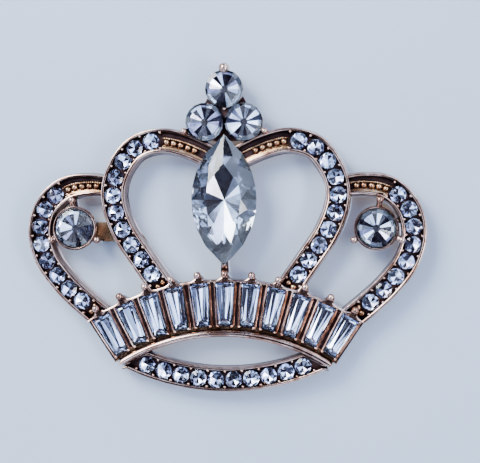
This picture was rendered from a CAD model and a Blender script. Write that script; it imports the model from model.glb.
import math
import random

import bmesh
import bpy
from mathutils import Matrix, Vector


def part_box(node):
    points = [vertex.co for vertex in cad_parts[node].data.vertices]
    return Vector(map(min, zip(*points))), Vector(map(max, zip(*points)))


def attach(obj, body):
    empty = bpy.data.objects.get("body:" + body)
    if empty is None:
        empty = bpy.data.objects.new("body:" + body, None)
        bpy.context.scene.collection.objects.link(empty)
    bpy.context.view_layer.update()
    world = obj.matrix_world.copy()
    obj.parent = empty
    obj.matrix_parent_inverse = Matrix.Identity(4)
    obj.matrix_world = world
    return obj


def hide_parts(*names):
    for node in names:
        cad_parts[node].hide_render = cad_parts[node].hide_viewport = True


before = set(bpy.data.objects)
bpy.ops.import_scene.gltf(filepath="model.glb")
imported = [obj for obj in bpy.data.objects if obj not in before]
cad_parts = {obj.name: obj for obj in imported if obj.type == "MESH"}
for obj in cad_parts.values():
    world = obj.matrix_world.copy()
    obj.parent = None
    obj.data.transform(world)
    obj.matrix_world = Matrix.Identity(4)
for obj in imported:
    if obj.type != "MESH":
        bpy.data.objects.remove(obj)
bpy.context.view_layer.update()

# The crown brooch's looks. Shapes are drawn in plan millimetres, as in the part's own source:
# x across, y up the crown, and z towards the viewer, counted from the axis of the pin stem.
MM = 0.001


def to_frame(p):
    """A plan point in millimetres as a point of the part's frame in metres."""
    return Vector((p[0], -p[2], p[1])) * MM


def from_frame(v):
    """The reverse of to_frame."""
    return Vector((v.x, v.z, -v.y)) / MM


def plan_box(node):
    """Lowest and highest plan corners of a CAD node, in millimetres."""
    low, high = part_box(node)
    a, b = from_frame(low), from_frame(high)
    return Vector(map(min, a, b)), Vector(map(max, a, b))


def solids(node):
    """Plan boxes of a CAD node's separate solids, in millimetres."""
    mesh = bmesh.new()
    mesh.from_mesh(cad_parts[node].data)
    bmesh.ops.remove_doubles(mesh, verts=mesh.verts, dist=1e-7)
    left = set(mesh.verts)
    boxes = []
    while left:
        island, edge = set(), [left.pop()]
        while edge:
            v = edge.pop()
            island.add(v)
            for e in v.link_edges:
                w = e.other_vert(v)
                if w in left:
                    left.discard(w)
                    edge.append(w)
        spots = [from_frame(v.co) for v in island]
        boxes.append(tuple(Vector([f(s[k] for s in spots) for k in range(3)]) for f in (min, max)))
    mesh.free()
    return sorted(boxes, key=lambda b: (round(b[0].x + b[1].x, 3), b[0].y))


# ---------------- levels and driving sizes

TURN = 2 * math.pi
BACK = plan_box("base_channel")[0].z
OUTER_RIM = plan_box("base_channel")[1].z
INNER_LIFT = 0.25  # how much higher the inner arches stand than the outer ones
FLOOR = BACK + 0.8  # bed of a stone channel
LIFT = BACK + 0.15  # start of parts that are sunk in the frame, so that no faces coincide at its back
DEEPER = LIFT + 0.1  # start of parts that are sunk in such a part
RIM_T = 0.42  # thickness of a channel's rims
CHANNEL_W = 1.65  # half the width of a channel at its rims
DRAFT = 0.22  # how much further a channel reaches at its back

# Centre lines of the right-hand arches, from the middle outwards and down
INNER_LINE = [
    (1.8, 10.3), (5.6, 12.0), (9.0, 12.65), (12.5, 11.6), (14.9, 8.4),
    (15.6, 4.6), (14.2, 0.2), (11.3, -4.2), (8.5, -8.2),
]
OUTER_LINE = [
    (15.6, 6.2), (19.0, 6.6), (22.4, 6.0), (25.0, 3.6), (25.95, 0.0),
    (25.0, -3.8), (22.6, -7.1), (19.9, -9.7), (16.9, -12.2),
]

# The baguette band and its stones: radii about a centre below the crown, and angles in degrees
BAND_Y = -41.2
BAND_IN, BAND_OUT = 27.65, 34.85
BAND_HALF_ANGLE = 33.6
STONE_COUNT = 11
STONE_PITCH = 6.1
STONE_TOP_R = 34.15
STONE_L = 5.9
STONE_TOP_W, STONE_LOW_W = 1.25, 0.88
BALL_R, BALL_AT = 0.52, 35.4

# The rail shares the band's centre. The base channel curves the other way.
RAIL_IN = 26.75
RAIL_HALF_ANGLE = 32.6
BASE_Y = 10.8
BASE_OUT, BASE_IN = 32.8, 29.5
BASE_HALF_ANGLE = 25.6

# The bed of milled beads, and the gap between an end stone's middle and the prong beyond it
BEAD_PITCH, BEAD_R, BEAD_SHIFT = 1.05, 0.47, -0.18
BED_PAST_BEAD = 0.62
END_GAP = 1.24
# Pebbles at an arch's foot: reach past the last stone's middle, offset and radius
PEBBLES = ((1.75, -0.5, 0.46), (1.9, 0.45, 0.52), (2.5, -0.1, 0.5), (2.7, 0.85, 0.4))
# Struts of a side setting and its three prong balls: direction in degrees and reach from its middle
SIDE_PRONGS = ((83, 3.9), (208, 3.45), (335, 3.8))
SIDE_STRUTS = ((83, 4.9), (335, 5.2), (20, 4.6))
TOP_BALL_Y = 22.45

# Levels of the stones' girdles, that of a small one counted from its lowest point
LARGE_GIRDLE, MARQUISE_GIRDLE, BAGUETTE_GIRDLE = BACK + 2.95, BACK + 3.0, BACK + 1.9
SMALL_R, SMALL_GIRDLE = 1.19, 1.12
ALL_ROUND = 6.28


# ---------------- materials

def new_material(name):
    m = bpy.data.materials.new(name)
    m.use_nodes = True
    m.node_tree.nodes.clear()
    out = m.node_tree.nodes.new("ShaderNodeOutputMaterial")
    shader = m.node_tree.nodes.new("ShaderNodeBsdfPrincipled")
    m.node_tree.links.new(shader.outputs[0], out.inputs[0])
    return m, m.node_tree, shader


def texture(tree, kind, scale, **inputs):
    """A texture node that is read at the object's own coordinates, with scale counted per millimetre."""
    coord = tree.nodes.new("ShaderNodeTexCoord")
    node = tree.nodes.new(kind)
    tree.links.new(coord.outputs["Object"], node.inputs["Vector"])
    node.inputs["Scale"].default_value = scale / MM
    for key, value in inputs.items():
        node.inputs[key].default_value = value
    return node


def ramp(tree, source, stops):
    """A colour ramp of (position, colour) stops."""
    node = tree.nodes.new("ShaderNodeValToRGB")
    tree.links.new(source, node.inputs[0])
    elements = node.color_ramp.elements
    while len(elements) < len(stops):
        elements.new(0.5)
    for element, (at, colour) in zip(elements, stops):
        element.position = at
        element.color = (*colour, 1)
    return node.outputs[0]


def spread(tree, source, low, high):
    """Maps 0 to 1 onto low to high."""
    node = tree.nodes.new("ShaderNodeMapRange")
    tree.links.new(source, node.inputs[0])
    node.inputs["To Min"].default_value = low
    node.inputs["To Max"].default_value = high
    return node.outputs[0]


def maths(tree, operation, *values):
    """A Math node of sockets and numbers."""
    node = tree.nodes.new("ShaderNodeMath")
    node.operation = operation
    for socket, value in zip(node.inputs, values):
        if isinstance(value, bpy.types.NodeSocket):
            tree.links.new(value, socket)
        else:
            socket.default_value = value
    return node.outputs[0]


def bump(tree, source, height):
    """A bump of a height in millimetres."""
    node = tree.nodes.new("ShaderNodeBump")
    node.inputs["Strength"].default_value = 1.0
    node.inputs["Distance"].default_value = height * MM
    tree.links.new(source, node.inputs["Height"])
    return node.outputs[0]


def plated(name, bright, worn, tarnish, rough, dip, reach=0.7, lumps=0.012):
    """Plated metal: bright, browner where it is worn, and tarnished in its recesses.

    rough is the roughness from smooth to grainy spots. dip is the openness at which the tarnish is full and
    at which it ends, measured over the reach in millimetres. lumps is the height of the surface's waves.
    """
    m, tree, shader = new_material(name)
    shader.inputs["Metallic"].default_value = 1.0
    patches = texture(tree, "ShaderNodeTexNoise", 0.45, Detail=4.0, Roughness=0.6)
    grain = texture(tree, "ShaderNodeTexNoise", 5.0, Detail=5.0, Roughness=0.65)
    waves = texture(tree, "ShaderNodeTexNoise", 1.3, Detail=2.0, Roughness=0.5)
    plate = ramp(tree, patches.outputs[0], [(0.4, worn), (0.58, bright)])
    recess = tree.nodes.new("ShaderNodeAmbientOcclusion")
    recess.samples = 6
    recess.inputs["Distance"].default_value = reach * MM
    depth = ramp(tree, recess.outputs["AO"], [(dip[0], (0, 0, 0)), (dip[1], (1, 1, 1))])
    mix = tree.nodes.new("ShaderNodeMix")
    mix.data_type = "RGBA"
    tree.links.new(depth, mix.inputs["Factor"])
    mix.inputs[6].default_value = (*tarnish, 1)
    tree.links.new(plate, mix.inputs[7])
    tree.links.new(mix.outputs[2], shader.inputs["Base Color"])
    tree.links.new(spread(tree, grain.outputs[0], *rough), shader.inputs["Roughness"])
    relief = maths(tree, "ADD", waves.outputs[0], spread(tree, grain.outputs[0], 0.0, 0.18))
    tree.links.new(bump(tree, relief, lumps), shader.inputs["Normal"])
    return m


def crystal(name, tint, ior):
    """Clear cut glass, very faintly rippled by its polish."""
    m, tree, shader = new_material(name)
    shader.inputs["Base Color"].default_value = (*tint, 1)
    shader.inputs["Transmission Weight"].default_value = 1.0
    shader.inputs["IOR"].default_value = ior
    shader.inputs["Roughness"].default_value = 0.0
    polish = texture(tree, "ShaderNodeTexNoise", 0.5, Detail=2.0)
    tree.links.new(bump(tree, polish.outputs[0], 0.004), shader.inputs["Normal"])
    return m


def foil(name, light, shade, mirror, rough=0.03, patch=0.9):
    """The mirror foil on a stone's back facets, slightly uneven in colour."""
    m, tree, shader = new_material(name)
    shader.inputs["Metallic"].default_value = mirror
    shader.inputs["Roughness"].default_value = rough
    patches = texture(tree, "ShaderNodeTexNoise", patch, Detail=3.0)
    colour = ramp(tree, patches.outputs[0], [(0.35, shade), (0.6, light)])
    tree.links.new(colour, shader.inputs["Base Color"])
    return m


ROSE = (0.80, 0.53, 0.41)
ROSE_WORN = (0.42, 0.22, 0.15)
UMBER = (0.034, 0.017, 0.015)

GOLD = plated("rose_gold_plate", ROSE, ROSE_WORN, UMBER, (0.07, 0.20), (0.28, 0.82))
RECESS = plated("recess_plate", (0.16, 0.085, 0.075), (0.07, 0.035, 0.035), (0.015, 0.008, 0.011),
                (0.25, 0.5), (0.2, 0.9), lumps=0.03)
MILLED = plated("milled_plate", (0.70, 0.42, 0.23), (0.36, 0.18, 0.09), (0.05, 0.022, 0.012),
                (0.14, 0.30), (0.3, 0.85), reach=0.5, lumps=0.03)
AGED = plated("aged_plate", (0.34, 0.195, 0.145), (0.17, 0.09, 0.068), (0.030, 0.015, 0.013),
              (0.16, 0.34), (0.35, 0.95), lumps=0.02)
CAST = plated("cast_back", (0.66, 0.38, 0.19), (0.42, 0.21, 0.10), (0.07, 0.036, 0.020),
              (0.24, 0.42), (0.3, 0.9), lumps=0.06)
PIN_GOLD = plated("pin_plate", (0.70, 0.49, 0.27), (0.42, 0.25, 0.13), (0.08, 0.04, 0.02),
                  (0.18, 0.36), (0.3, 0.9))
CRYSTAL = crystal("clear_crystal", (0.96, 0.98, 1.0), 1.56)
FOIL = foil("silver_foil", (0.88, 0.92, 1.0), (0.70, 0.72, 0.90), 0.96)
SHADED_FOIL = foil("shaded_foil", (0.36, 0.34, 0.43), (0.19, 0.17, 0.22), 0.96)
DIM_FOIL = foil("dim_foil", (0.36, 0.37, 0.43), (0.19, 0.17, 0.19), 0.92, 0.06, 0.22)
THIN_FOIL = foil("thin_foil", (0.90, 0.95, 1.0), (0.52, 0.51, 0.56), 0.88, 0.04, 0.22)
BOLD_FOIL = foil("bold_foil", (1.0, 1.0, 1.0), (0.84, 0.88, 1.0), 0.92, 0.05)
DEEP_FOIL = foil("deep_foil", (0.30, 0.28, 0.37), (0.14, 0.13, 0.18), 0.96, 0.05)

# Slots of the castings' metals, and those of a stone's glass and its two foils
METALS = [GOLD, RECESS, MILLED, AGED, CAST]
PLATE, HOLLOW, BEADED, WALL, REAR = range(5)
GLASS, LIGHT, SHADE = range(3)


# ---------------- mesh building

class Shape:
    """Collects a piece's points in plan millimetres and its faces, each with a material's index."""

    def __init__(self):
        self.points = []
        self.faces = []
        self.slots = []

    def add(self, points, faces, slot=0):
        first = len(self.points)
        self.points += [Vector(p) for p in points]
        self.faces += [[first + i for i in face] for face in faces]
        self.slots += list(slot) if isinstance(slot, (list, tuple)) else [slot] * len(faces)

    def mirrored(self):
        other = Shape()
        other.points = [Vector((-p.x, p.y, p.z)) for p in self.points]
        other.faces = [face[::-1] for face in self.faces]
        other.slots = list(self.slots)
        return other

    def piece(self, name, materials, smooth=35):
        """Makes the Blender object, which rides on the crown. Edges up to smooth degrees are shaded round."""
        mesh = bpy.data.meshes.new(name)
        mesh.from_pydata([to_frame(p) for p in self.points], [], self.faces)
        for m in materials:
            mesh.materials.append(m)
        mesh.polygons.foreach_set("material_index", self.slots)
        work = bmesh.new()
        work.from_mesh(mesh)
        bmesh.ops.recalc_face_normals(work, faces=work.faces)
        work.to_mesh(mesh)
        work.free()
        if smooth:
            mesh.polygons.foreach_set("use_smooth", [True] * len(mesh.polygons))
            mesh.set_sharp_from_angle(angle=math.radians(smooth))
        obj = bpy.data.objects.new(name, mesh)
        bpy.context.scene.collection.objects.link(obj)
        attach(obj, "crown")
        return obj


def per_part(slots, count):
    """One slot for each of count parts, from a list of them or from one slot for all."""
    return slots if isinstance(slots, (list, tuple)) else [slots] * count


def ring_of(steps):
    """Directions evenly round a circle, as (cosine, sine)."""
    return [(math.cos(a), math.sin(a)) for a in (TURN * k / steps for k in range(steps))]


def heading(degrees):
    """A direction in plan, counted anticlockwise from the right."""
    a = math.radians(degrees)
    return Vector((math.cos(a), math.sin(a), 0))


def loft(shape, rings, slots=PLATE, cap=None):
    """Skins closed rings of equal size.

    slots gives a material for each side of the ring, and cap those of the first and the last end.
    """
    n = len(rings[0])
    points = [p for ring in rings for p in ring]
    faces, kinds = [], []
    per_side = per_part(slots, n)
    for i in range(len(rings) - 1):
        for k in range(n):
            a, b = i * n + k, i * n + (k + 1) % n
            faces.append([a, b, b + n, a + n])
            kinds.append(per_side[k])
    faces += [list(range(n))[::-1], [len(points) - n + k for k in range(n)]]
    kinds += cap or [per_side[0]] * 2
    shape.add(points, faces, kinds)


def lathe(shape, at, profile, slots=PLATE, steps=48):
    """Turns a profile of (radius, level) about an axis towards the viewer. It starts and ends on the axis."""
    inner = profile[1:-1]
    n = len(inner)
    points = [(at[0] + r * c, at[1] + r * s, z) for c, s in ring_of(steps) for r, z in inner]
    points += [(at[0], at[1], profile[0][1]), (at[0], at[1], profile[-1][1])]
    per_side = per_part(slots, n + 1)
    faces, kinds = [], []
    for i in range(steps):
        j = (i + 1) % steps
        for k in range(n - 1):
            faces.append([i * n + k, i * n + k + 1, j * n + k + 1, j * n + k])
            kinds.append(per_side[k + 1])
        faces += [[steps * n, i * n, j * n], [steps * n + 1, j * n + n - 1, i * n + n - 1]]
        kinds += [per_side[0], per_side[n]]
    shape.add(points, faces, kinds)


def ball(shape, at, r, slot=PLATE, squash=1.0, steps=20):
    """A ball, or a pebble that is lower than it is wide."""
    rows = steps // 2
    turns = [math.pi * k / rows for k in range(rows + 1)]
    profile = [(r * math.sin(t), at[2] - squash * r * math.cos(t)) for t in turns]
    lathe(shape, at, profile, slot, steps)


def block(shape, outline, low, high, slot=PLATE, bevel=0.05):
    """An outline raised between two levels, with its front edges broken."""
    centre = sum((Vector((*p, 0)) for p in outline), Vector()) / len(outline)
    shrunk = []
    for p in outline:
        d = Vector((*p, 0)) - centre
        shrunk.append(centre + d * max(0.0, 1 - bevel / max(d.length, bevel)))
    rings = [
        [(p[0], p[1], low) for p in outline],
        [(p[0], p[1], high - bevel) for p in outline],
        [(p.x, p.y, high) for p in shrunk],
    ]
    loft(shape, rings, slot, cap=[REAR, slot])


def rod(shape, a, b, r_a, r_b, slot=PLATE, steps=16):
    """A round bar between two plan points. Its first end shows at the back, if any does."""
    a, b = Vector(a), Vector(b)
    axis = (b - a).normalized()
    side = axis.orthogonal().normalized()
    other = axis.cross(side)
    rings = [[at + r * (c * side + s * other) for c, s in ring_of(steps)] for at, r in ((a, r_a), (b, r_b))]
    loft(shape, rings, slot, cap=[REAR, slot])


def prong(shape, tip, floor):
    """A small round-headed post that holds a stone's edge."""
    rod(shape, (tip[0], tip[1], floor), tip, 0.22, 0.2, steps=10)
    ball(shape, tip, 0.23, steps=12)


# ---------------- lines

def smooth_line(points):
    """The Catmull-Rom curve that part.scad draws through the same points, more finely divided."""
    steps = 10
    pts = [Vector(p) for p in points]
    out = []
    for i in range(len(pts) - 1):
        a = pts[i - 1] if i else 2 * pts[0] - pts[1]
        b, c = pts[i], pts[i + 1]
        d = pts[i + 2] if i + 2 < len(pts) else 2 * c - b
        for j in range(steps):
            t = j / steps
            square, cube = 2 * a - 5 * b + 4 * c - d, 3 * b - a - 3 * c + d
            out.append(0.5 * (2 * b + (c - a) * t + square * t * t + cube * t ** 3))
    return out + [pts[-1]]


class Line:
    """A centre line that is measured along its length."""

    def __init__(self, points):
        self.points = smooth_line(points)
        self.at = [0.0]
        for a, b in zip(self.points, self.points[1:]):
            self.at.append(self.at[-1] + (b - a).length)
        self.length = self.at[-1]

    def spot(self, s):
        s = min(max(s, 0.0), self.length)
        i = max(k for k in range(len(self.at) - 1) if self.at[k] <= s)
        t = (s - self.at[i]) / (self.at[i + 1] - self.at[i])
        return self.points[i].lerp(self.points[i + 1], t)

    def normal(self, s):
        d = (self.spot(s + 0.2) - self.spot(s - 0.2)).normalized()
        return Vector((-d.y, d.x))

    def beside(self, s, offset, level):
        p = self.spot(s) + self.normal(s) * offset
        return Vector((p.x, p.y, level))

    def clear_span(self, offset, level, blocked_start, blocked_end):
        """Lengths between which the line beside this one is clear of what its two ends run into."""
        first, last, step = 0.0, self.length, 0.02
        while blocked_start(self.beside(first, offset, level)):
            first += step
        while blocked_end(self.beside(last, offset, level)):
            last -= step
        return first, last

    def nearest(self, p):
        """The length along the line that is nearest to a plan point."""
        steps = 400
        target = Vector(p[:2])
        return min((self.length * k / steps for k in range(steps + 1)),
                   key=lambda s: (self.spot(s) - target).length)


def polar(r, degrees, centre_y=BAND_Y, down=False):
    """A plan point at a radius and an angle from straight up (or down), about a centre on the middle line."""
    a = math.radians(degrees)
    return Vector((r * math.sin(a), centre_y + (-r if down else r) * math.cos(a)))


# ---------------- castings

def channel_section(half_w, draft, rim, floor):
    """Section of a stone channel as (offset, level), from one back corner over both rims to the other."""
    half = [
        (half_w + draft, BACK), (half_w + draft * 0.8, BACK + 0.3), (half_w + 0.02, rim - 0.3),
        (half_w - 0.02, rim - 0.12), (half_w - 0.08, rim - 0.03), (half_w - 0.17, rim),
        (half_w - RIM_T + 0.12, rim), (half_w - RIM_T + 0.04, rim - 0.04), (half_w - RIM_T, rim - 0.14),
        (half_w - RIM_T - 0.03, floor + 0.1), (half_w - RIM_T - 0.12, floor),
    ]
    return [(-o, z) for o, z in half] + half[::-1]


# Material of each side of the section above
CHANNEL_SLOTS = [WALL] * 2 + [PLATE] * 6 + [HOLLOW] * 5 + [PLATE] * 6 + [WALL] * 2 + [REAR]


def width_at(s, start_w, full_at):
    """Half the width of an arch, which grows from its start."""
    return start_w + (CHANNEL_W - start_w) * min(1.0, s / full_at)


def in_band(p):
    """Whether a plan point lies inside the baguette band."""
    return (p.xy - Vector((0, BAND_Y))).length < BAND_OUT - 0.3


def in_marquise(p):
    """Whether a plan point lies inside the marquise's setting."""
    r = (marquise_l ** 2 + marquise_w ** 2) / (2 * marquise_w)
    inset = 0.3
    return math.hypot(abs(p.x) + r - marquise_w, p.y - marquise_at.y) < r - inset


def in_inner_arch(p):
    """Whether a plan point lies inside the inner arch, which is wider at its back."""
    inset = 0.25 if p.z > LIFT else 0.01 - DRAFT
    return min((p.xy - q).length for q in inner_line.points) < CHANNEL_W - inset


def arch(line, start_w, full_at, lift, blocked, beads_from, bead_count, stones):
    """A channel along a line, with its bed of milled beads and the small prongs between its stones."""
    shape = Shape()
    floor, rim = FLOOR + lift, OUTER_RIM + lift
    stations = 90
    section = channel_section(CHANNEL_W, DRAFT, rim, floor)
    spans = [line.clear_span(o, z, blocked, in_band) for o, z in section]
    rings = []
    for i in range(stations + 1):
        ring = []
        for k, (first, last) in enumerate(spans):
            s = first + (last - first) * i / stations
            o, z = channel_section(width_at(s, start_w, full_at), DRAFT, rim, floor)[k]
            ring.append(line.beside(s, o, z))
        rings.append(ring)
    loft(shape, rings, CHANNEL_SLOTS)

    # Bed of milled beads between two fine wires and a smooth ledge, in the stretch without stones
    shift = BEAD_SHIFT
    bed_end = beads_from + (bead_count - 1) * BEAD_PITCH + BED_PAST_BEAD
    begin = line.clear_span(shift, floor, blocked, in_band)[0] - 0.3
    steps = 30
    bed = [begin + (bed_end - begin) * i / steps for i in range(steps + 1)]
    rings = []
    for s in bed:
        w = width_at(s, start_w, full_at) - RIM_T - 0.06
        rings.append([line.beside(s, o, z) for o, z in (
            (-w, floor - 0.1), (-w, floor + 0.6), (-w * 0.72, floor + 0.5), (-w * 0.68, floor + 0.2),
            (w * 0.6, floor + 0.2), (w * 0.64, floor + 0.34), (w, floor + 0.3), (w, floor - 0.1))])
    loft(shape, rings, [BEADED] * 3 + [HOLLOW] * 3 + [BEADED] * 2)
    wire_level, bead_level = floor + 0.4, floor + 0.42
    for offset, r in ((shift - 0.52, 0.09), (shift + 0.5, 0.11)):
        wire = [line.beside(s, offset, wire_level) for s in bed]
        for a, b in zip(wire, wire[1:]):
            rod(shape, a, b, r, r, BEADED, 8)
    twist = 0.3
    for i in range(int((bed_end - begin) / twist)):
        spot = line.beside(begin + (i + 0.5) * twist, shift + 0.5, bead_level)
        ball(shape, spot, 0.14, BEADED, steps=8)
    for i in range(bead_count):
        ball(shape, line.beside(beads_from + i * BEAD_PITCH, shift, bead_level), BEAD_R, BEADED)

    # Pebbles past the last stone
    places = sorted(line.nearest((a + b) / 2) for a, b in stones)
    for reach, offset, r in PEBBLES:
        spot = line.beside(places[-1] + reach, offset, floor + 0.2)
        if not in_band(spot):
            ball(shape, spot, r, BEADED, 0.9, 14)

    # Small prongs at both rims between neighbouring stones
    gaps = [(a + b) / 2 for a, b in zip(places, places[1:])]
    for s in [places[0] - END_GAP] + gaps + [places[-1] + END_GAP]:
        for side in (-1, 1):
            prong(shape, line.beside(s, side * (CHANNEL_W - RIM_T - 0.12), rim - 0.3), floor)
    return shape


def band_place(x, r_from_centre, degrees, level):
    """A point of the band, from x across and r up, turned clockwise about the band's centre."""
    a = math.radians(degrees)
    return Vector((
        x * math.cos(a) + r_from_centre * math.sin(a),
        BAND_Y - x * math.sin(a) + r_from_centre * math.cos(a),
        level,
    ))


def stone_angles():
    """The angles of the baguettes about the band's centre, from left to right."""
    return [(i - (STONE_COUNT - 1) / 2) * STONE_PITCH for i in range(STONE_COUNT)]


def sector(shape, r_in, r_out, half_angle, section, slots):
    """Sweeps a section of (radius share, level) along an arc of the band. r_out may vary with the angle."""
    steps = 132
    rings = []
    for i in range(steps + 1):
        angle = half_angle * (2 * i / steps - 1)
        high = r_out(angle) if callable(r_out) else r_out
        rings.append([(*polar(r_in + (high - r_in) * u, angle), z) for u, z in section])
    loft(shape, rings, slots)


def scallop(angle):
    """Outer radius of the band's upper rim: it dips between the balls and runs up to each of them."""
    off = abs((angle / STONE_PITCH + 0.5) % 1.0 - 0.5)
    return BAND_OUT - 0.2 + 0.75 * max(0.0, 1 - off / 0.3) ** 1.7


def baguette_band():
    shape = Shape()
    rim = OUTER_RIM
    sector(shape, BAND_IN, BAND_OUT - 0.3, BAND_HALF_ANGLE,
           [(0, BACK), (0, FLOOR), (1, FLOOR), (1, BACK)], [WALL, HOLLOW, WALL, REAR])
    rim_section = [(0, LIFT), (0, rim - 0.12), (0.1, rim - 0.02), (0.3, rim + 0.03), (0.7, rim + 0.01),
                   (0.92, rim - 0.06), (1.0, rim - 0.2), (1.05, rim - 0.7), (1.12, LIFT)]
    rim_slots = [WALL] + [PLATE] * 6 + [WALL] * 2
    sector(shape, BAND_OUT - 0.55, scallop, BAND_HALF_ANGLE, rim_section, rim_slots)
    foot = [(0, LIFT), (0, BACK + 1.5), (0.25, BACK + 1.65), (1, BACK + 1.65), (1, LIFT)]
    sector(shape, BAND_IN, BAND_IN + 0.5, BAND_HALF_ANGLE, foot, BEADED)
    end_half_w, half_w = 0.3, 0.55
    for i in range(STONE_COUNT + 1):
        angle = (i - STONE_COUNT / 2) * STONE_PITCH
        inward = (i == 0) - (i == STONE_COUNT)
        divider(shape, angle, end_half_w if inward else half_w, inward * end_half_w)
    for angle in stone_angles():
        for side in (-1, 1):
            rib(shape, angle, side, BACK + 2.08)
        gusset(shape, angle, rim)
        ball(shape, band_place(0, BALL_AT, angle, BACK + 2.5), BALL_R, steps=24)
    return shape


def divider(shape, angle, half_w, middle):
    """The filled groove between two baguettes, and the lump where it meets the bar below."""
    bar = [(middle + side * half_w, r) for side, r in ((-1, 28.1), (1, 28.1), (1, 34.5), (-1, 34.5))]
    block(shape, [band_place(x, r, angle, 0)[:2] for x, r in bar], LIFT, BACK + 1.88, bevel=0.12)
    lump = [(middle + x, r) for x, r in ((-0.36, 27.7), (0.36, 27.7), (0.3, 28.4), (-0.3, 28.4))]
    outline = [band_place(x, r, angle, 0)[:2] for x, r in lump]
    block(shape, outline, BACK + 1, BACK + 1.95, BEADED, bevel=0.15)


def rib(shape, angle, side, top):
    """A rounded bar beside a baguette, with a foot that grips the stone's lower corner."""
    low, high = STONE_TOP_R - STONE_L - 0.15, STONE_TOP_R + 0.2
    section = [(0.02, FLOOR - 0.1), (0.03, top - 0.2), (0.08, top - 0.06), (0.17, top), (0.27, top - 0.03),
               (0.36, top - 0.16), (0.42, top - 0.5), (0.46, FLOOR - 0.1)]
    stations = ((low, STONE_LOW_W, 0.9), (low + 0.5, STONE_LOW_W + 0.03, 1.1),
                (high - 1.6, STONE_TOP_W - 0.07, 1.0), (high, STONE_TOP_W + 0.02, 0.85))
    rings = [[band_place(side * (half_w + o * swell), r, angle, z) for o, z in section]
             for r, half_w, swell in stations]
    loft(shape, rings, [PLATE] * 6 + [WALL] * 2)
    foot = band_place(side * (STONE_LOW_W + 0.12), low + 0.08, angle, top - 0.08)
    ball(shape, foot, 0.25, steps=14)
    shoulder = band_place(side * (STONE_TOP_W + 0.16), high - 0.12, angle, top - 0.1)
    ball(shape, shoulder, 0.2, steps=12)


def gusset(shape, angle, rim):
    """The wedge that carries a ball and reaches down to the stone's upper edge."""
    foot = [(-1.15, 34.25), (1.15, 34.25), (0.5, 35.2), (0.0, 35.6), (-0.5, 35.2)]
    waist = [(-1.05, 34.25), (1.05, 34.25), (0.42, 35.15), (0.0, 35.5), (-0.42, 35.15)]
    crest = [(-0.42, 34.2), (0.42, 34.2), (0.26, 35.05), (0.0, 35.4), (-0.26, 35.05)]
    levels = ((foot, DEEPER), (waist, rim - 0.25), (crest, rim + 0.12))
    rings = [[band_place(x, r, angle, z) for x, r in outline] for outline, z in levels]
    loft(shape, rings, WALL, cap=[REAR, WALL])


def base_rail():
    """The half-round bar under the baguettes, drawn out to a point at each end."""
    shape = Shape()
    half_t, top = (BAND_IN - RAIL_IN) / 2, BACK + 2.35
    sides = 12
    turns = [math.pi * k / sides for k in range(sides + 1)]
    arc = [(half_t * math.cos(t), top + half_t * math.sin(t)) for t in turns]
    rings = []
    steps = 140
    for i in range(steps + 1):
        angle = RAIL_HALF_ANGLE * (2 * i / steps - 1)
        to_end = (RAIL_HALF_ANGLE - abs(angle)) / RAIL_HALF_ANGLE
        share = min(1.0, 0.35 + (to_end / 0.045) ** 0.6 * 0.65)
        section = [(half_t + 0.08, BACK)] + [(u * share, z) for u, z in arc] + [(-half_t - 0.08, BACK)]
        rings.append([(*polar((BAND_IN + RAIL_IN) / 2 + u, angle), z) for u, z in section])
    loft(shape, rings, [WALL] + [PLATE] * sides + [WALL, REAR])
    return shape


def base_inner_r(angle):
    """Inner radius of the base channel, about its own centre. Near its ends the rail cuts across it."""
    reach = BASE_Y - BAND_Y
    a = math.radians(angle)
    root = RAIL_IN ** 2 - (reach * math.sin(a)) ** 2
    return max(BASE_IN, reach * math.cos(a) - math.sqrt(root)) if root > 0 else BASE_OUT


def base_channel(stones):
    """The curved channel below the rail, with prongs between its stones."""
    shape = Shape()
    steps = 120
    rings = []
    for i in range(steps + 1):
        angle = BASE_HALF_ANGLE * (2 * i / steps - 1)
        low = base_inner_r(angle)
        half_w = (BASE_OUT - low) / 2
        middle = (BASE_OUT + low) / 2
        section = channel_section(max(half_w, RIM_T + 0.16), 0.12, OUTER_RIM, FLOOR)
        rings.append([(*polar(middle + o, angle, BASE_Y, down=True), z) for o, z in section])
    loft(shape, rings, CHANNEL_SLOTS)
    spots = sorted(((a + b) / 2 for a, b in stones), key=lambda p: p.x)
    angles = [math.degrees(math.atan2(p.x, BASE_Y - p.y)) for p in spots]
    end_gap = 2.25
    gaps = [(a + b) / 2 for a, b in zip(angles, angles[1:])] + [angles[0] - end_gap, angles[-1] + end_gap]
    for angle in gaps:
        for r in (BASE_OUT - RIM_T - 0.14, BASE_IN + RIM_T + 0.14):
            if r >= base_inner_r(angle) + 0.2:
                prong(shape, (*polar(r, angle, BASE_Y, down=True), OUTER_RIM - 0.3), FLOOR)
    return shape


def cup(shape, at, r, top, seat):
    """A stone's cup: a foot, a wall and the seat inside it."""
    profile = [
        (0, BACK), (r - 0.2, BACK), (r - 0.08, BACK + 0.1), (r - 0.04, BACK + 0.5), (r, top - 0.14),
        (r - 0.05, top - 0.03), (r - 0.14, top), (r - 0.25, top - 0.05), (r - 0.34, top - 0.25),
        (r - 0.45, seat), (0, seat),
    ]
    lathe(shape, at, profile, [REAR] + [WALL] * 3 + [PLATE] * 4 + [HOLLOW] * 2)


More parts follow.
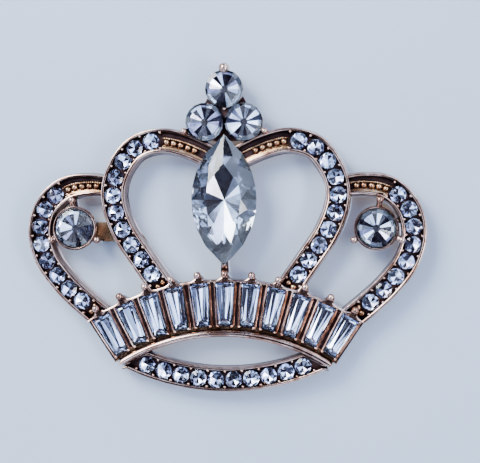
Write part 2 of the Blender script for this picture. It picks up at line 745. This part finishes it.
def finial(stones):
    """Three cups on a web, with a ball on top and a prong ball at each side."""
    shape = Shape()
    for centre, r in stones:
        cup(shape, centre, r - 0.03, BACK + 2.5, BACK + 0.65)
    left, right = (stone[0].x for stone in stones[:2])
    web = [(left - 2.6, 13.8), (-1.4, 12.6), (1.4, 12.6), (right + 2.6, 13.8), (2.2, 19.2), (-2.2, 19.2)]
    block(shape, web, LIFT, BACK + 0.6, HOLLOW)
    block(shape, [(0, 15.3), (1.05, 17.35), (-1.05, 17.35)], DEEPER, BACK + 2.3, HOLLOW, bevel=0.3)
    for x, y in ((-2.3, 17.45), (2.3, 17.45), (0, 16.95)):
        ball(shape, (x, y, BACK + 2.7), 0.32, steps=14)
    top = (0, TOP_BALL_Y, BACK + 3.1)
    rod(shape, (0, TOP_BALL_Y - 0.1, LIFT), top, 0.55, 0.5)
    ball(shape, top, 0.75, steps=28)
    for side in (-1, 1):
        x, y = side * 5.56, 13.82
        rod(shape, (x, y, DEEPER), (x, y, BACK + 2.95), 0.42, 0.4)
        ball(shape, (x, y, BACK + 2.95), 0.47)
        rod(shape, (x, y, BACK + 2.6), (side * 4.8, 14.1, BACK + 2.4), 0.35, 0.3)
    return shape


def lens_points(half_l, half_w, inset, count):
    """Outline of a marquise about its centre, drawn in by an inset; count points on each of its two arcs."""
    r = (half_l ** 2 + half_w ** 2) / (2 * half_w)
    shift, arc_r = r - half_w, r - inset
    tip = math.acos(shift / arc_r)
    right = [(arc_r * math.cos(t) - shift, arc_r * math.sin(t)) for t in
             (tip * (2 * k / count - 1) for k in range(count))]
    return right + [(-x, -y) for x, y in right]


def marquise_setting(centre, half_l, half_w):
    """The marquise's cup, and the neck that ties its lower tip to the band."""
    shape = Shape()
    count = 40
    section = ((0.35, 0.0), (0.22, 0.1), (0.3, 1.0), (0.12, 2.5), (0.16, 2.62), (0.3, 2.62), (0.62, 2.2),
               (0.75, 0.7))
    loops = []
    for inset, height in section:
        outline = lens_points(half_l, half_w, inset, count)
        loops.append([(centre.x + x, centre.y + y, BACK + height) for x, y in outline])
    loft(shape, loops, WALL, cap=[REAR, REAR])
    tip = centre.y - half_l
    neck = [(-0.55, tip - 1.0), (0.55, tip - 1.0), (0.42, tip + 1.1), (-0.42, tip + 1.1)]
    block(shape, neck, LIFT, BACK + 2.2)
    rod(shape, (0, tip - 0.5, BACK + 1.6), (0, tip + 0.25, BACK + 3.0), 0.42, 0.24)
    ball(shape, (0, tip + 0.12, BACK + 2.95), 0.27, steps=14)
    return shape


def side_setting(centre, stone_r):
    """A side stone's cup with its bezel, its three prong balls and the struts to the outer arch."""
    shape = Shape()
    r, top, seat = stone_r + 0.42, BACK + 3.1, BACK + 0.65
    profile = [
        (0, BACK), (r - 0.55, BACK), (r - 0.4, BACK + 0.12), (r - 0.16, BACK + 1.5), (r - 0.02, top - 0.35),
        (r + 0.01, top - 0.12), (r - 0.05, top - 0.02), (r - 0.15, top), (r - 0.27, top - 0.03),
        (r - 0.36, top - 0.14), (r - 0.38, top - 0.4), (r - 0.5, seat), (0, seat),
    ]
    lathe(shape, centre, profile, [REAR] + [WALL] * 3 + [PLATE] * 6 + [HOLLOW] * 2, steps=64)
    for degrees, reach in SIDE_PRONGS:
        out = heading(degrees)
        root = Vector((centre.x, centre.y, BACK + 2.3)) + out * (r - 0.2)
        tip = Vector((centre.x, centre.y, BACK + 2.75)) + out * reach
        rod(shape, root, tip, 0.42, 0.36)
        rod(shape, (tip.x, tip.y, DEEPER), tip, 0.4, 0.38)
        ball(shape, tip, 0.5, steps=22)
    for degrees, reach in SIDE_STRUTS:
        out = heading(degrees)
        across = Vector((-out.y, out.x, 0)) * 0.4
        low, high = centre + out * (r - 0.3), centre + out * reach
        corners = [low - across, high - across, high + across, low + across]
        block(shape, [(c.x, c.y) for c in corners], LIFT, BACK + 1.7, WALL)
    return shape


# ---------------- stones

def facet_ring(r, z, folds):
    """Corners evenly round a circle at a level."""
    return [(r * c, r * s, z) for c, s in ring_of(folds)]


def brilliant(r, crown, table, pavilion, girdle, low_r, reach):
    """A brilliant cut about its girdle's centre, as points, front faces and back faces.

    table and low_r are shares of the radius. The lower facets start at low_r. reach stretches the outline.
    """
    folds = 8
    step = TURN / folds
    mid_r = 0.5 * (1 + table) * 0.98
    flat = math.cos(step / 2)
    mid_z = crown * (1 - mid_r * flat) / (1 - table)
    low_z = -pavilion * (1 - low_r * flat)

    def at(share, angle, z):
        k = share * r * reach(angle)
        return (k * math.cos(angle), k * math.sin(angle), z)

    top = [at(table, k * step, girdle + crown) for k in range(folds)]
    mid = [at(mid_r, (k + 0.5) * step, girdle + mid_z) for k in range(folds)]
    high = [at(1, k * step / 2, girdle) for k in range(2 * folds)]
    low = [at(1, k * step / 2, 0) for k in range(2 * folds)]
    under = [at(low_r, (k + 0.5) * step, low_z) for k in range(folds)]
    points = top + mid + high + low + under + [(0, 0, -pavilion)]
    t, m, h, l, u = 0, folds, 2 * folds, 4 * folds, 6 * folds
    culet = 7 * folds
    crown_faces, back_faces = [list(range(folds))], []
    for k in range(folds):
        n = (k + 1) % folds
        a, b, c = h + 2 * k, h + 2 * k + 1, h + (2 * k + 2) % (2 * folds)
        crown_faces += [[t + k, m + k, t + n], [t + k, m + (k - 1) % folds, a, m + k]]
        crown_faces += [[m + k, a, b], [m + k, b, c]]
        a, b, c = a - h + l, b - h + l, c - h + l
        back_faces += [[u + k, b, a], [u + k, c, b], [culet, u + k, a, u + (k - 1) % folds]]
        crown_faces += [[a - l + h, a, b, b - l + h], [b - l + h, b, c, c - l + h]]
    return points, crown_faces, back_faces


def spoke_cut(r, crown, table, depth, girdle, culet, folds):
    """The cut of the large stones, whose back facets run like spokes from a small flat to the girdle."""
    points = facet_ring(table * r, girdle + crown, folds) + facet_ring(r, girdle, folds)
    points += facet_ring(r, 0, folds) + facet_ring(culet * r, -depth, folds)
    front, back = [list(range(folds))], [[3 * folds + k for k in range(folds)]]
    for k in range(folds):
        n = (k + 1) % folds
        front += [[i * folds + k, (i + 1) * folds + k, (i + 1) * folds + n, i * folds + n] for i in range(2)]
        back.append([2 * folds + k, 3 * folds + k, 3 * folds + n, 2 * folds + n])
    return points, front, back


def single_cut(r, crown, table, pavilion, girdle, folds):
    """The simple cut of small stones: a table, one row of crown facets and one row of pavilion facets."""
    points = facet_ring(table * r, girdle + crown, folds) + facet_ring(r, girdle, folds)
    points += facet_ring(r, 0, folds) + [(0, 0, -pavilion)]
    front, back = [list(range(folds))], []
    for k in range(folds):
        n = (k + 1) % folds
        front += [[k, folds + k, folds + n, n], [folds + k, 2 * folds + k, 2 * folds + n, folds + n]]
        back.append([3 * folds, 2 * folds + n, 2 * folds + k])
    return points, front, back


def add_gem(shape, gem, at, shaded, spin=0.0, tilt=0.0, toward=0.0):
    """Sets a cut stone at a plan point, turned by spin and leaning by tilt about the direction toward.

    shaded tells by its middle whether a back facet has the darker foil.
    """
    points, front, back = gem
    middles = [sum((Vector(points[i]) for i in face), Vector()) / len(face) for face in back]
    foils = [SHADE if shaded(middle) else LIGHT for middle in middles]
    lean = Matrix.Rotation(toward, 3, "Z") @ Matrix.Rotation(tilt, 3, "X")
    turn = lean @ Matrix.Rotation(spin - toward, 3, "Z")
    points = [Vector(at) + turn @ Vector(p) for p in points]
    shape.add(points, front + back, [GLASS] * len(front) + foils)


def lens_reach(half_l, half_w):
    """Reach of a marquise outline at an angle, over its half width."""
    r = (half_l ** 2 + half_w ** 2) / (2 * half_w)
    shift = r - half_w

    def reach(angle):
        c = abs(math.cos(angle))
        return (-shift * c + math.sqrt((shift * c) ** 2 + r * r - shift * shift)) / half_w

    return reach


def baguette_gem(angle, girdle, swing):
    """A tapered step cut: a table with two crown steps round it, and long facets behind. swing leans them."""
    shape = Shape()

    def loop(side, head, foot, level):
        """The stone's outline, drawn in at its sides, head and foot."""
        low, high = STONE_TOP_R - STONE_L + foot, STONE_TOP_R - head
        low_w, high_w = STONE_LOW_W - side, STONE_TOP_W - side
        corners = [(-low_w, low), (low_w, low), (high_w, high), (-high_w, high)]
        return [band_place(x, r, angle, level) for x, r in corners]

    crown = [loop(0, 0, 0, girdle), loop(0, 0, 0, girdle + 0.1), loop(0.12, 0.25, 0.3, girdle + 0.36),
             loop(0.22, 0.45, 0.6, girdle + 0.5)]
    points = [p for ring in crown for p in ring]
    faces = []
    for i in range(0, 12, 4):
        for k in range(4):
            n = (k + 1) % 4
            faces.append([i + k, i + n, i + 4 + n, i + 4 + k])
    shape.add(points, faces + [[12, 13, 14, 15]], GLASS)

    # The back: on each long side three facets of falling slope, which run together towards the foot
    low, high = STONE_TOP_R - STONE_L, STONE_TOP_R
    lean = swing * 0.12
    foot = [(-0.62, 0.75, -0.46), (-0.2, 0.95, -0.56), (lean * 0.4, 1.05, -0.6), (0.2, 0.95, -0.56),
            (0.62, 0.75, -0.46)]
    head = [(0.98, -0.45, -0.46), (0.46, -0.6, -0.62), (lean, -0.7, -0.68), (-0.46, -0.6, -0.62),
            (-0.98, -0.45, -0.46)]
    points = loop(0, 0, 0, girdle)
    points += [band_place(x, low + y, angle, girdle + z) for x, y, z in foot]
    points += [band_place(x, high + y, angle, girdle + z) for x, y, z in head]
    faces = [[0, 1, 8, 7, 6, 5, 4], [2, 3, 13, 12, 11, 10, 9], [1, 2, 9, 8], [3, 0, 4, 13]]
    faces += [[4 + k, 5 + k, 12 - k, 13 - k] for k in range(4)]
    shape.add(points, faces, LIGHT)
    return shape


def weld(obj):
    """Joins a stone's crown and pavilion along the girdle, so that it is one closed body of glass."""
    work = bmesh.new()
    work.from_mesh(obj.data)
    bmesh.ops.remove_doubles(work, verts=work.verts, dist=1e-3 * MM)
    bmesh.ops.recalc_face_normals(work, faces=work.faces)
    work.to_mesh(obj.data)
    work.free()


# ---------------- building

chance = random.Random(7)
inner_line, outer_line = Line(INNER_LINE), Line(OUTER_LINE)
marquise_low, marquise_high = plan_box("marquise_stone")
marquise_at = (marquise_low + marquise_high) / 2
marquise_l = (marquise_high.y - marquise_low.y) / 2
marquise_w = (marquise_high.x - marquise_low.x) / 2


def disc(node):
    """Centre and radius of a round stone's CAD body."""
    low, high = plan_box(node)
    return (low + high) / 2, (high.x - low.x) / 2


def casting(shape, node):
    """Puts a shape in place of a CAD node of the frame."""
    obj = shape.piece(node + "_detail", METALS)
    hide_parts(node)


def two_sides(right, name):
    """Puts a right-hand shape and its mirror image in place of the CAD nodes on each side."""
    casting(right, "right_" + name)
    casting(right.mirrored(), "left_" + name)


def stone_piece(shape, node, foils=(FOIL, SHADED_FOIL)):
    """Puts a cut stone, or a row of them, in place of its CAD node."""
    obj = shape.piece(node + "_cut", [CRYSTAL, *foils], smooth=0)
    weld(obj)
    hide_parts(node)


def uneven(share):
    """A rule that gives a share of the back facets the darker foil, but never the flat at the middle."""
    return lambda middle: middle.xy.length > 0.05 and chance.random() < share


def upper_left(middle):
    """The rule for the marquise, whose upper left is darker."""
    return middle.y > -0.1 * marquise_l and middle.x < 0.3 * marquise_w


side_at, large_r = disc("right_side_stone")

two_sides(arch(inner_line, start_w=1.5, full_at=7.5, lift=INNER_LIFT, blocked=in_marquise, beads_from=2.6,
               bead_count=5, stones=solids("right_inner_arch_stones")), "inner_arch")
two_sides(arch(outer_line, start_w=1.3, full_at=7.0, lift=0.0, blocked=in_inner_arch, beads_from=2.5,
               bead_count=5, stones=solids("right_outer_arch_stones")), "outer_arch")
two_sides(side_setting(side_at, large_r), "side_setting")
casting(baguette_band(), "baguette_band")
casting(base_rail(), "base_rail")
casting(base_channel(solids("base_channel_stones")), "base_channel")
casting(finial([disc(f"finial_{which}_stone") for which in ("left", "right", "top")]), "finial_setting")
casting(marquise_setting(marquise_at, marquise_l, marquise_w), "marquise_setting")

large_cut = spoke_cut(large_r, crown=0.13, table=0.77, depth=0.62, girdle=0.18, culet=0.2, folds=18)
for which in ("finial_top", "finial_left", "finial_right", "left_side", "right_side"):
    at, _ = disc(which + "_stone")
    shape = Shape()
    add_gem(shape, large_cut, (at.x, at.y, LARGE_GIRDLE), uneven(0.38), spin=chance.uniform(0, 1),
            tilt=chance.uniform(0.0, 0.05), toward=chance.uniform(0, ALL_ROUND))
    stone_piece(shape, which + "_stone", (BOLD_FOIL, DEEP_FOIL))

small_cut = single_cut(SMALL_R, crown=0.26, table=0.66, pavilion=0.33, girdle=0.1, folds=8)
for group in ("left_inner_arch", "right_inner_arch", "left_outer_arch", "right_outer_arch", "base_channel"):
    node = group + "_stones"
    shape = Shape()
    for low, high in solids(node):
        at = (low + high) / 2
        add_gem(shape, small_cut, (at.x, at.y, low.z + SMALL_GIRDLE), uneven(0.28), spin=chance.uniform(0, 1),
                tilt=chance.uniform(0.02, 0.12), toward=chance.uniform(0, ALL_ROUND))
    stone_piece(shape, node)

shape = Shape()
marquise_cut = brilliant(marquise_w, crown=1.4, table=0.55, pavilion=1.45, girdle=0.2, low_r=0.55,
                         reach=lens_reach(marquise_l, marquise_w))
add_gem(shape, marquise_cut, (marquise_at.x, marquise_at.y, MARQUISE_GIRDLE), upper_left)
stone_piece(shape, "marquise_stone", (THIN_FOIL, DIM_FOIL))

for i, angle in enumerate(stone_angles()):
    gem = baguette_gem(angle, BAGUETTE_GIRDLE, chance.uniform(-1, 1))
    stone_piece(gem, f"baguette_stone_{i + 1:02d}")

# The pin hardware keeps its CAD shapes, with broken edges and a plated finish
for node in ("hinge_bracket", "hinge_rivet", "pin_stem", "catch_base", "catch_barrel"):
    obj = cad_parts[node]
    obj.data.materials.clear()
    obj.data.materials.append(PIN_GOLD)
    edge = obj.modifiers.new("edge", "BEVEL")
    edge.width = 0.05 * MM
    edge.segments = 2
    edge.limit_method = "ANGLE"
    edge.angle_limit = math.radians(40)


# ---------------- stage, light and camera

FLOOR_LEVEL = 1.25
PASS_THROUGH = 1.9


def stage_floor():
    """The pale surface that the crown lies on. It shows from its front only, so the back stays in view.

    Rays that leave the crown's back for the surface just behind it pass through, so the back is lit as well.
    """
    m, tree, shader = new_material("pale_surface")
    shader.inputs["Roughness"].default_value = 0.9
    patches = texture(tree, "ShaderNodeTexNoise", 0.02, Detail=3.0)
    colour = ramp(tree, patches.outputs[0], [(0.3, (0.50, 0.58, 0.70)), (0.7, (0.55, 0.63, 0.74))])
    tree.links.new(colour, shader.inputs["Base Color"])
    clear = tree.nodes.new("ShaderNodeBsdfTransparent")
    geometry = tree.nodes.new("ShaderNodeNewGeometry")
    mix = tree.nodes.new("ShaderNodeMixShader")
    out = next(n for n in tree.nodes if n.type == "OUTPUT_MATERIAL")
    path = tree.nodes.new("ShaderNodeLightPath")
    close = maths(tree, "LESS_THAN", path.outputs["Ray Length"], PASS_THROUGH * MM)
    tree.links.new(maths(tree, "MAXIMUM", close, geometry.outputs["Backfacing"]), mix.inputs[0])
    tree.links.new(shader.outputs[0], mix.inputs[1])
    tree.links.new(clear.outputs[0], mix.inputs[2])
    tree.links.new(mix.outputs[0], out.inputs[0])
    size = 600
    mesh = bpy.data.meshes.new("pale_surface")
    corners = [(-size, -size), (size, -size), (size, size), (-size, size)]
    mesh.from_pydata([to_frame((x, y, FLOOR_LEVEL)) for x, y in corners], [], [[0, 1, 2, 3]])
    mesh.materials.append(m)
    obj = bpy.data.objects.new("pale_surface", mesh)
    bpy.context.scene.collection.objects.link(obj)


def area_light(name, place, size, watts, colour):
    """A soft panel that faces the crown's middle. Place and size are in plan millimetres."""
    data = bpy.data.lights.new(name, "AREA")
    data.shape = "RECTANGLE"
    data.size, data.size_y = size[0] * MM, size[1] * MM
    data.energy = watts
    data.color = colour
    obj = bpy.data.objects.new(name, data)
    obj.location = to_frame(place)
    obj.rotation_euler = (-obj.location).to_track_quat("-Z", "Y").to_euler()
    bpy.context.scene.collection.objects.link(obj)


def facing(tree, direction, low, high):
    """How far a ray turns towards a direction, 0 to 1 between two cosines."""
    coord = tree.nodes.new("ShaderNodeTexCoord")
    dot = tree.nodes.new("ShaderNodeVectorMath")
    dot.operation = "DOT_PRODUCT"
    tree.links.new(coord.outputs["Generated"], dot.inputs[0])
    dot.inputs[1].default_value = Vector(direction).normalized()
    step = tree.nodes.new("ShaderNodeMapRange")
    step.interpolation_type = "SMOOTHSTEP"
    tree.links.new(dot.outputs["Value"], step.inputs[0])
    step.inputs["From Min"].default_value = low
    step.inputs["From Max"].default_value = high
    return step.outputs[0]


def weighed(tree, parts):
    """Sum of sockets, each times its weight."""
    total = 0.0
    for socket, weight in parts:
        total = maths(tree, "MULTIPLY_ADD", socket, weight, total)
    return total


def studio_world():
    """A pale room for the camera. Reflections see a dark room with broken bright windows."""
    world = bpy.data.worlds.new("studio")
    world.use_nodes = True
    bpy.context.scene.world = world
    tree = world.node_tree
    tree.nodes.clear()
    out = tree.nodes.new("ShaderNodeOutputWorld")
    coord = tree.nodes.new("ShaderNodeTexCoord")
    panes = tree.nodes.new("ShaderNodeTexVoronoi")
    panes.inputs["Scale"].default_value = 4.3
    place = tree.nodes.new("ShaderNodeMapping")
    place.inputs["Location"].default_value = (3.7, 0.0, 0.0)
    tree.links.new(coord.outputs["Generated"], place.inputs["Vector"])
    tree.links.new(place.outputs[0], panes.inputs["Vector"])
    sky = facing(tree, (-0.5, -0.3, 0.8), 0.1, 0.7)
    front = facing(tree, (0, -1, 0), 0.975, 0.992)
    light = weighed(tree, ((sky, 0.09), (front, -0.35), (panes.outputs["Color"], 1.0)))
    windows = ramp(tree, light, [
        (0.46, (0.016, 0.010, 0.024)), (0.59, (0.075, 0.070, 0.12)), (0.62, (0.7, 0.95, 1.6)),
        (0.78, (2.2, 2.9, 4.4)), (0.98, (4.4, 5.4, 7.6))])
    pale = tree.nodes.new("ShaderNodeBackground")
    pale.inputs["Color"].default_value = (0.72, 0.76, 0.82, 1)
    room = tree.nodes.new("ShaderNodeBackground")
    tree.links.new(windows, room.inputs["Color"])
    path = tree.nodes.new("ShaderNodeLightPath")
    mix = tree.nodes.new("ShaderNodeMixShader")
    tree.links.new(path.outputs["Is Camera Ray"], mix.inputs[0])
    tree.links.new(room.outputs[0], mix.inputs[1])
    tree.links.new(pale.outputs[0], mix.inputs[2])
    tree.links.new(mix.outputs[0], out.inputs[0])


def make_camera():
    """The photograph's view: square on, from a little to the right."""
    data = bpy.data.cameras.new("camera")
    distance, across, azimuth = 170.0, 66.2, math.radians(5)
    data.sensor_width = 36
    data.lens = data.sensor_width * distance / across
    data.clip_start = 0.005
    target = Vector((2.1, 0.05, 4.0))
    place = target + distance * Vector((math.sin(azimuth), 0, math.cos(azimuth)))
    obj = bpy.data.objects.new("camera", data)
    obj.location = to_frame(place)
    obj.rotation_euler = (to_frame(target) - obj.location).to_track_quat("-Z", "Y").to_euler()
    bpy.context.scene.collection.objects.link(obj)
    bpy.context.scene.camera = obj


stage_floor()
studio_world()
area_light("key", (-190, 210, 260), (180, 180), 2.6, (0.92, 0.97, 1.0))
area_light("fill", (230, -60, 240), (60, 160), 0.5, (1.0, 0.97, 0.93))
area_light("behind", (170, 200, -200), (160, 160), 0.9, (1.0, 0.98, 0.95))
make_camera()
